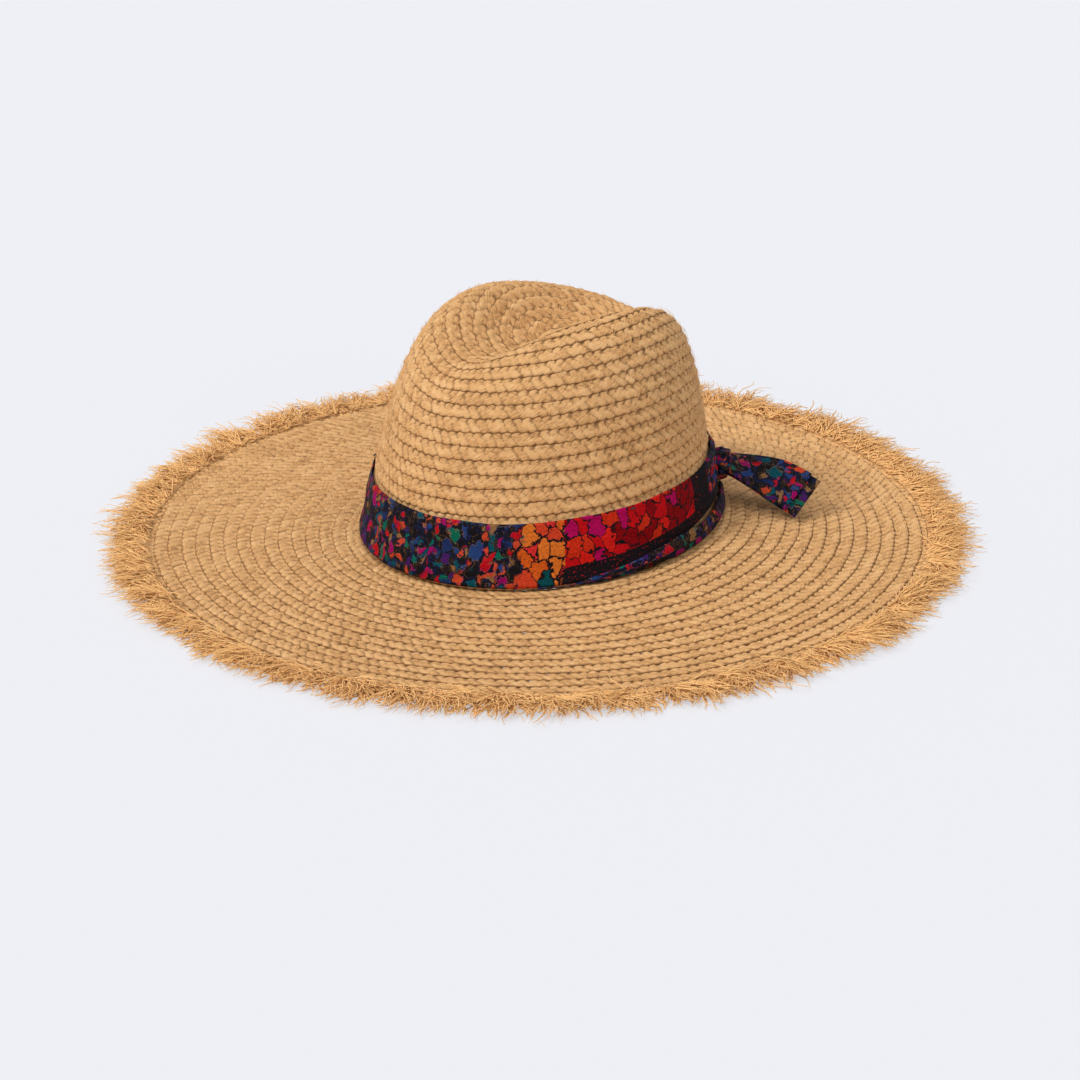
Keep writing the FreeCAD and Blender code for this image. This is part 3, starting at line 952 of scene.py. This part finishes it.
@dataclass
class Fringe:
    """The frayed fringe: tufts of fine fibres over short flat strips, sewn in under the edge row."""

    form: HatForm
    skin: CrownSkin
    tufts: int = 280
    per_tuft: int = 34
    steps: int = 8
    strips: int = 1500
    strays: int = 4200
    seed: int = 5
    floor_gap: float = 0.35
    stray_on_crown: float = 0.4
    crown_hairs: tuple[float, float] = (42.0, 150.0)
    brim_hairs: tuple[float, float] = (4.0, 118.0)
    stitch_count: int = 300
    stitch_inset: float = 3.8

    def rim(self, angle: Array, out: Array) -> Array:
        """Points in plan on the head oval grown by out."""
        a = np.radians(angle)
        form = self.form
        return np.stack([(form.head_side + out) * np.cos(a), (form.head_front + out) * np.sin(a)], -1)

    def sweep(self, rng: np.random.Generator, angle: Array, out: Array, heading: Array, length: Array,
              height: Array, rise: Array, curl: Array) -> tuple[Array, Array]:
        """Lines that leave the rim: straight out, bending sideways and up or down, never under the table.

        Args:
            rng: the random numbers.
            angle: degrees round the head of each root.
            out: distance of each root from the head oval.
            heading: radians that each line turns from straight outwards.
            length: of each line.
            height: of each root over the table.
            rise: how far each tip stands over its root.
            curl: how far each line bends sideways.

        Returns:
            The points (lines, steps, 3) and each line's sideways vector.
        """
        t = np.linspace(0, 1, self.steps)[None, :]
        root = self.rim(angle, out)
        away = np.radians(angle) + heading
        ahead = np.stack([np.cos(away), np.sin(away)], -1)
        left = np.stack([-ahead[:, 1], ahead[:, 0]], -1)
        turns = TURN * (t * rng.uniform(0.5, 1.6, (len(angle), 1)) + rng.random((len(angle), 1)))
        wave = curl[:, None] * t**2 + 0.07 * length[:, None] * t * np.sin(turns)
        far = length[:, None] * (t - 0.16 * t**2 * np.abs(curl[:, None]) / 4)
        plan = root[:, None, :] + ahead[:, None, :] * far[..., None] + left[:, None, :] * wave[..., None]
        up = height[:, None] + rise[:, None] * np.sin(t * 1.9) + 0.8 * t * np.cos(turns)
        up = self.floor_gap + np.abs(up - self.floor_gap)
        line = np.concatenate([plan, up[..., None]], -1)
        return line, np.concatenate([left, np.zeros((len(angle), 1))], -1)

    def build(self) -> None:
        """Make the flat strips, then the fibres in four pieces round the brim."""
        rng = np.random.default_rng(self.seed)
        edge = self.form.brim_width
        n = self.strips
        angle = np.arange(n) / n * 360 + rng.uniform(-0.3, 0.3, n)
        line, side = self.sweep(rng, angle, edge - rng.uniform(2, 7, n), rng.normal(0, 0.35, n),
                                rng.uniform(16, 26, n), rng.uniform(0.9, 1.9, n), rng.uniform(-0.6, 0.8, n),
                                rng.normal(0, 2.5, n))
        cloud = Cloud()
        taper = 1 - 0.6 * np.linspace(0, 1, self.steps)[None, :] ** 2
        radius = rng.uniform(0.7, 1.25, (n, 1)) * taper
        fibres(cloud, line, side, radius, rng.random(n) * 0.6, rng.random(n) * 0.4)
        place(cloud.build("fringe_strips"), FIBRE, Body.HAT, ["raffia_fringe"])
        self.stray_hairs(rng)
        self.stitches()
        quarter = self.tufts // 4
        for part in range(4):
            m = quarter * self.per_tuft
            which = np.repeat(np.arange(quarter), self.per_tuft) + part * quarter
            tuft = rng.random((self.tufts, 6))[which]
            angle = (which + 0.5 + (tuft[:, 0] - 0.5) * 1.4) / self.tufts * 360 + rng.normal(0, 0.34, m)
            heading = (tuft[:, 1] - 0.5) * 1.5 + rng.normal(0, 0.42, m)
            length = (20 + 12 * tuft[:, 2]) * (1 - 0.5 * rng.random(m) ** 1.8)
            height = 2.2 + 1.6 * rng.random(m)
            rise = (tuft[:, 3] - 0.3) * 5.0 + rng.normal(0, 1.8, m)
            line, side = self.sweep(rng, angle, edge - rng.uniform(-2.5, 4, m), heading, length, height, rise,
                                    (tuft[:, 4] - 0.5) * 12 + rng.normal(0, 4.5, m))
            cloud = Cloud()
            fibres(cloud, line, side, rng.uniform(0.22, 0.62, (m, 1)) * taper, rng.random(m), tuft[:, 5])
            place(cloud.build(f"fringe_tufts_{part + 1}"), FIBRE, Body.HAT)

    def stray_hairs(self, rng: np.random.Generator) -> None:
        """Short loose hairs that stand up from the braid, all over crown and brim."""
        n = self.strays
        t = np.linspace(0, 1, self.steps)[None, :]
        angle = rng.uniform(0, 360, n)
        on_crown = rng.random(n) < self.stray_on_crown
        turn = rng.uniform(0, 80, n)[:, None] / 360 * TURN
        length = rng.uniform(3, 9, n)[:, None]
        rise = rng.uniform(0.3, 1.8, n)[:, None] * np.sin(math.pi * t * 0.8) - 0.9
        round_it = length * np.cos(turn) * t + 1.2 * t**2 * rng.normal(0, 1, (n, 1))
        up_it = length * np.sin(turn) * t
        size = self.form.head_front + 50 * ~on_crown[:, None]
        where = angle[:, None] + np.degrees(round_it / size)
        crown = self.skin.rise(where, rng.uniform(*self.crown_hairs, n)[:, None] + up_it, rise + 0.2)
        brim = self.form.brim_point(where, rng.uniform(*self.brim_hairs, n)[:, None] + up_it * 0.4, rise + 0.4)
        line = np.where(on_crown[:, None, None], crown, brim)
        cloud = Cloud()
        side = unit(np.cross(line[:, -1] - line[:, 0], np.array([0.1, 0.2, 1.0])))
        taper = 1 - 0.7 * t
        radius = rng.uniform(0.10, 0.24, (n, 1)) * taper
        fibres(cloud, line, side, radius, 0.1 + 1.1 * rng.random(n), rng.random(n))
        place(cloud.build("stray_hairs"), FIBRE, Body.HAT)

    def stitches(self) -> None:
        """The run of stitches that holds the fringe under the last row."""
        n = self.stitch_count
        t = np.linspace(0, 1, self.steps)[None, :]
        where = (np.arange(n)[:, None] + 0.15 + 0.62 * t) / n * 360
        out = np.full_like(where, self.form.brim_width - self.stitch_inset)
        line = self.form.brim_point(where, out, 0.35 * np.sin(math.pi * t) - 0.15 + 0 * where)
        side = unit(line.mean(1) * np.array([1.0, 1.0, 0.0]))
        cloud = Cloud()
        fibres(cloud, line, side, np.full((n, self.steps), 0.3), np.zeros(n), np.zeros(n))
        place(cloud.build("fringe_stitches"), STRAW_THREAD, Body.HAT, ["fringe_stitching"])


# ---------------------------------------------------------------- scarf
@dataclass
class Scarf:
    """The scarf: a wide turn round the crown, a rolled second turn, a knot and two ends."""

    skin: CrownSkin
    lift: float = 1.2
    height: float = 35.5
    thick: float = 0.9
    knot_at: float = 76.0
    knot_rise: float = 17.0
    fold_from: float = -24.0
    fold_to: float = 72.0
    print_start: float = -25.0
    print_girth: float = 611.0
    knot_behind: float = 8.2
    knot_half_sizes: tuple[float, float, float] = (6.4, 10.0, 8.4)
    root_behind: float = 1.2
    bend_ahead: float = 6.8
    tail_drop: float = 18.5
    tail_tilt: float = 32.0
    tail_root_width: float = 22.0
    tail_widening: float = 7.0
    tail_hidden: float = 6.0

    def zone(self, angle: Array) -> Array:
        """The print's zones by angle: 0 mixed cells, 0.5 orange, 1 red."""
        away = turn_from(angle, self.print_start)
        orange = ease((away + 11) / 12) * 0.5
        red = ease((away - 8.5) / 2) * 0.5
        end = ease((away - 64) / 5)
        second = 0.5 * (ease((away + 152) / 6) - ease((away + 118) / 6))
        return (orange + red) * (1 - end) + second * (away < -60)

    def panel_lift(self, angle: Array) -> Array:
        """How far the wide turn's lower edge is raised over the rolled one."""
        away = turn_from(angle, 0)
        return 9.5 * ease((away - self.fold_from) / 75) * (1 - ease((away - 74) / 16))

    def band(self) -> bpy.types.Object:
        """The wide turn: a thin closed shell with soft folds that gather towards the knot."""
        angle = np.linspace(0, 360, 900, endpoint=False)[:, None]
        t_out = np.linspace(0, 1, 34)
        t_in = np.linspace(1, 0, 10)
        t = np.concatenate([t_out, t_in])[None, :]
        outside = (np.arange(t.shape[1]) < len(t_out))[None, :]
        near = bump(turn_from(angle, self.knot_at), 34)
        low = self.lift + self.panel_lift(angle)
        rise = low + (self.lift + self.height - low) * t + 0.5 * sway(angle / 360 * 5, 3) * t
        folds = 0.35 * np.sin(TURN * (1.7 * t + 0.5 * sway(angle / 360 * 3, 9)))
        folds = folds + near * (0.9 * np.sin(TURN * 3.2 * t + 3 * sway(angle / 360 * 6, 4)) + 0.8)
        folds = folds + 0.3 * sway(angle / 360 * 14 + 1.4 * t, 12)
        hem = 0.55 * bump(t - 0.035, 0.05) + 0.4 * bump(t - 0.985, 0.03)
        edge = np.sqrt(np.clip(1 - (2 * t - 1) ** 12, 0, 1))
        outer = 1.0 + edge * self.thick * 0.6 + np.maximum(folds + hem, -0.5) * edge
        offset = np.where(outside, outer, 0.45 - 0.1 * edge)
        points = self.skin.rise(angle, rise, offset)
        away = turn_from(angle, self.print_start)
        along = away / 360 * self.print_girth
        cloth = np.stack(np.broadcast_arrays(along, rise, self.zone(angle)), -1)
        lower_stripe = ease((0.34 - t) / 0.14) * ease((away - 4) / 8) * ease((100 - away) / 10)
        ink = lower_stripe + ease((away - 60) / 4) * (1 - ease((away - 72) / 4))
        cloud = Cloud()
        ink = np.broadcast_to(ink, rise.shape)
        cloud.grid(points, loop_rows=True, loop_columns=True, cloth=cloth, ink=ink)
        return place(cloud.build("scarf_band"), SCARF, Body.HAT, ["sash_wrap"])

    def roll(self) -> bpy.types.Object:
        """The rolled second turn: an ellipse carried low round the crown, thin at its start."""
        angle = np.linspace(self.fold_from, self.fold_to, 220)[:, None]
        share = (angle - self.fold_from) / (self.fold_to - self.fold_from)
        around = np.linspace(0, TURN, 28, endpoint=False)[None, :]
        grow = np.clip(ease(share / 0.5), 0.08, 1)
        tall = 4.6 * grow + 0.5 * sway(share * 3, 21)
        deep = 1.7 * grow + 0.3
        wrinkle = 1 + 0.10 * np.sin(3 * around + 5 * share + 2 * sway(share * 2, 8))
        wrinkle = wrinkle + 0.04 * np.sin(7 * around - 9 * share)
        rise = self.lift - 0.3 + 4.4 * grow + tall * wrinkle * np.sin(around)
        offset = 1.4 + deep + deep * wrinkle * np.cos(around)
        points = self.skin.rise(angle, rise, offset)
        along = angle / 360 * self.print_girth + 210
        cloth = np.stack(np.broadcast_arrays(along, around / TURN * 18 + 60, 0 * along), -1)
        cloud = Cloud()
        cloud.grid(points, loop_columns=True, caps=True, cloth=cloth)
        return place(cloud.build("scarf_rolled_turn", flip=True), SCARF, Body.HAT, ["sash_lower_fold"])

    def knot(self) -> bpy.types.Object:
        """The knot: a pleated lump with a band of cloth wrapped over its middle."""
        hinge, ahead, left = tail_frame()
        middle = hinge - ahead * self.knot_behind
        lat = np.linspace(-math.pi / 2, math.pi / 2, 46)[:, None]
        lon = np.linspace(0, TURN, 72, endpoint=False)[None, :]
        boxy = 0.8
        half_deep, half_wide, half_tall = self.knot_half_sizes
        cx = np.sign(np.cos(lon)) * np.abs(np.cos(lon)) ** boxy * np.cos(lat) ** boxy
        cy = np.sign(np.sin(lon)) * np.abs(np.sin(lon)) ** boxy * np.cos(lat) ** boxy
        cz = np.sign(np.sin(lat)) * np.abs(np.sin(lat)) ** boxy + 0 * lon
        pleat = 1 + 0.05 * np.sin(9 * lat + 2 * np.sin(lon)) + 0.03 * np.sin(17 * lat + 3 * lon)
        belt = 0.10 * bump(cy + 0.15 * cz, 0.5)
        size = pleat + belt
        deep = (cx * half_deep * size)[..., None]
        wide = (cy * half_wide * size * (1 - 0.25 * bump(cy, 0.4)))[..., None]
        tall = (cz * half_tall * size)[..., None]
        points = middle + deep * ahead + wide * left + tall * np.array([0, 0, 1.0])
        cloth = np.stack(np.broadcast_arrays(lat * 14 + 300, lon * 11 + 90, 0 * lon), -1)
        cloud = Cloud()
        cloud.grid(points, loop_columns=True, cloth=cloth)
        return place(cloud.build("scarf_knot"), SCARF, Body.HAT, ["sash_knot"])

    def tail(self, name: str, node: str, length: float, level: float, start: float) -> bpy.types.Object:
        """One end of the scarf: a pleated strip that widens, turns up its far side and falls to the brim.

        Args:
            name: the piece's name.
            node: the node that it replaces.
            length: from root to tip.
            level: height over the middle of the pair.
            start: where its print starts, along the scarf.

        Returns:
            The piece.
        """
        hinge, ahead, left = tail_frame()
        drop = math.radians(self.tail_drop)
        upward = np.array([0, 0, 1.0])
        run = ahead * math.cos(drop) - upward * math.sin(drop)
        face = upward * math.cos(drop) + ahead * math.sin(drop)
        s = np.linspace(0, 1, 60)[:, None]
        u_out = np.linspace(-1, 1, 40)
        u = np.concatenate([u_out, u_out[::-1]])[None, :]
        over = np.concatenate([np.ones(40), -np.ones(40)])[None, :]
        far = (length + self.tail_hidden) * s - self.tail_hidden + 3.5 * (u * 0.5) * s
        tilt = np.radians(self.tail_tilt) * np.minimum(1.5 * s, 1)
        spread = np.sin(np.minimum(s * length / 40, 1) * math.pi / 2)
        half = (self.tail_root_width + self.tail_widening * spread) / 2
        arch = 2.5 * np.sin(math.pi * np.minimum(s * length / 46, 1))
        pleats = 0.55 * np.sin(TURN * 1.5 * u + 1.2 + 2.2 * s) * (1 - 0.4 * s)
        pleats = pleats + 0.25 * np.sin(TURN * 3.4 * u - 4 * s)
        rim = np.sqrt(np.clip(1 - u**20, 0, 1)) * np.sqrt(np.clip(1 - (2 * s - 1) ** 40, 0, 1))
        z = level + pleats * 0.5 + over * 0.32 * np.maximum(rim, 0.12)
        across = left * np.cos(tilt)[..., None] + face * np.sin(tilt)[..., None]
        normal = face * np.cos(tilt)[..., None] - left * np.sin(tilt)[..., None]
        points = (hinge + run * far[..., None] + face * arch[..., None]
                  + across * (half * u)[..., None] + normal * z[..., None])
        cloth = np.stack(np.broadcast_arrays(start + far, u * half + 30, 0 * far), -1)
        cloud = Cloud()
        cloud.grid(points, loop_columns=True, caps=True, cloth=cloth)
        return place(cloud.build(name, flip=True), SCARF, None, [node])

    def build(self) -> None:
        band, roll, knot = self.band(), self.roll(), self.knot()
        lower = self.tail("scarf_end_lower", "sash_tail_lower", 46.0, -0.9, 400.0)
        upper = self.tail("scarf_end_upper", "sash_tail_upper", 40.0, 0.9, 520.0)
        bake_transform(lower)
        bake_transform(upper)


def tail_frame() -> tuple[Array, Array, Array]:
    """The hinge of the scarf's ends in millimetres, the way they point in plan, and their left."""
    joint = next(j for j in frame["joints"] if j["name"] == "tail_lower_lift")
    hinge = np.array(joint["pos_m"], float) / MM
    axis = np.array(joint["axis"], float)
    return hinge, np.array([-axis[1], axis[0], 0.0]), -axis


# ---------------------------------------------------------------- lining and sewing
@dataclass
class Lining:
    """The sweatband inside the crown, with the tape over its join and its stitches."""

    skin: CrownSkin
    low: float = 1.0
    height: float = 30.0
    out: float = -3.15
    thick: float = 1.1
    girth: float = 590.0

    def sleeve(self, name: str, start: float, stop: float, out: float, thick: float,
               node: str) -> bpy.types.Object:
        """A ribbon that lies on the inside of the crown between two angles."""
        whole = stop - start >= 360
        angle = np.linspace(start, stop, 480 if whole else 24, endpoint=not whole)[:, None]
        t = np.concatenate([np.linspace(0, 1, 12), np.linspace(1, 0, 12)])[None, :]
        inner = (np.arange(24) >= 12)[None, :]
        edge = np.sqrt(np.clip(1 - (2 * t - 1) ** 10, 0, 1))
        ripple = 0.15 * sway(angle / 360 * 16 + t, 31) if whole else 0 * angle
        face = np.where(inner, -1, 1) * thick / 2 * np.maximum(edge, 0.3)
        offset = out - thick / 2 + face - 0.2 + ripple * inner
        rise = self.low + self.height * t
        points = self.skin.rise(angle, rise, np.minimum(offset, out))
        cloth = np.stack(np.broadcast_arrays(angle / 360 * self.girth, rise, 0 * rise), -1)
        cloud = Cloud()
        cloud.grid(points, loop_rows=whole, loop_columns=True, caps=not whole, cloth=cloth)
        return place(cloud.build(name, flip=whole), RIBBON, Body.HAT, [node])

    def build(self) -> None:
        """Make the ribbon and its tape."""
        band = self.sleeve("sweatband_ribbon", 0, 360, self.out, self.thick, "sweatband")
        tape = self.sleeve("sweatband_tape", 86.6, 93.4, self.out - self.thick - 0.35, 0.7, "sweatband_join")


def dress_threads() -> None:
    """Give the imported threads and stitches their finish."""
    finishes = {
        "head_seam_thread": THREAD,
        "sweatband_stitching": THREAD,
        "sash_tack_stitches": DARK_THREAD,
    }
    for name, finish in finishes.items():
        node = frame["nodes"][name]
        for slot in node.material_slots:
            slot.material = finish.material()
        log.info("%s dressed", name)


# ---------------------------------------------------------------- studio
def standing(right: Array, up: Array, back: Array, spot: Array) -> Matrix:
    """The matrix of an object with those axes at that spot."""
    matrix = np.eye(4)
    matrix[:3, 0], matrix[:3, 1], matrix[:3, 2], matrix[:3, 3] = right, up, back, spot
    return Matrix(matrix.tolist())


@dataclass
class Studio:
    """The pale floor, the soft lights and the camera."""

    azimuth: float = 65.0
    elevation: float = 23.5
    distance: float = 1.8
    aside: float = 0.00043
    above: float = -0.0052
    lens: float = 106.8
    paper: Colour = (0.30, 0.30, 0.31)
    glow: Colour = (0.475, 0.48, 0.505)
    floor_half: float = 9000.0
    floor_drop: float = 0.05

    def axes(self) -> tuple[Array, Array, Array]:
        """The camera's right, up and back."""
        a, e = math.radians(self.azimuth), math.radians(self.elevation)
        back = np.array([math.sin(a) * math.cos(e), -math.cos(a) * math.cos(e), math.sin(e)])
        right = np.array([math.cos(a), math.sin(a), 0.0])
        return right, np.cross(back, right), back

    def camera(self) -> None:
        """The camera, looking at the hat from its front left."""
        right, up, back = self.axes()
        data = bpy.data.cameras.new("camera")
        data.lens, data.sensor_width = self.lens, 36.0
        data.clip_end = 50.0
        seat = bpy.data.objects.new("camera", data)
        spot = right * self.aside + up * self.above + back * self.distance
        seat.matrix_world = standing(right, up, back, spot)
        bpy.context.scene.collection.objects.link(seat)
        bpy.context.scene.camera = seat

    def sun(self, name: str, towards: tuple[float, float, float], spread: float, power: float) -> None:
        """An even soft light from (right, towards the camera, up), spread over that many degrees."""
        right, _, back = self.axes()
        ahead = unit(np.array([back[0], back[1], 0.0]))
        away = unit(right * towards[0] + ahead * towards[1] + np.array([0, 0, towards[2]]))
        data = bpy.data.lights.new(name, "SUN")
        data.angle, data.energy = math.radians(spread), power
        lamp = bpy.data.objects.new(name, data)
        side = unit(np.cross(np.array([0, 0, 1.0]), away))
        lamp.matrix_world = standing(side, np.cross(away, side), away, away)
        bpy.context.scene.collection.objects.link(lamp)

    def floor(self) -> None:
        """A wide sheet of pale paper under the hat."""
        half = self.floor_half
        cloud = Cloud()
        corners = np.array([[[-half, -half, 0], [half, -half, 0]], [[-half, half, 0], [half, half, 0]]])
        cloud.grid(corners - np.array([0, 0, self.floor_drop]))
        paper = cloud.build("floor_paper", smooth=False)
        made = bpy.data.materials.new("pale_paper")
        made.use_nodes = True
        shader = made.node_tree.nodes["Principled BSDF"]
        shader.inputs["Base Color"].default_value = (*self.paper, 1)
        shader.inputs["Emission Color"].default_value = (*self.glow, 1)
        shader.inputs["Emission Strength"].default_value = 1.0
        shader.inputs["Roughness"].default_value = 0.9
        shader.inputs["Specular IOR Level"].default_value = 0.1
        paper.data.materials.append(made)

    def build(self) -> None:
        """Set the floor, the lights, the sky and the camera."""
        self.camera()
        self.floor()
        self.sun("key_light", (-1.5, 0.9, 1.8), 14.0, 2.02)
        self.sun("fill_light", (0.9, 1.4, 1.2), 30.0, 0.45)
        self.sun("top_light", (-0.3, -0.7, 2.4), 40.0, 0.7)
        world = bpy.data.worlds.new("soft_sky")
        world.use_nodes = True
        world.node_tree.nodes["Background"].inputs["Color"].default_value = (0.93, 0.95, 1.0, 1)
        world.node_tree.nodes["Background"].inputs["Strength"].default_value = 0.55
        scene = bpy.context.scene
        scene.world = world
        scene.view_settings.view_transform = "Standard"
        log.info("studio set")


def main() -> None:
    """Build the hat piece by piece."""
    logging.basicConfig(level=logging.INFO, format="%(name)s %(message)s")
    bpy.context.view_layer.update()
    Studio().build()
    skin = CrownSkin(FORM)
    CrownBraid(skin, Plait()).build()
    BrimBraid(FORM, Plait()).build()
    Fringe(FORM, skin).build()
    Scarf(skin).build()
    Lining(skin).build()
    dress_threads()


if __name__ == "__main__":
    main()
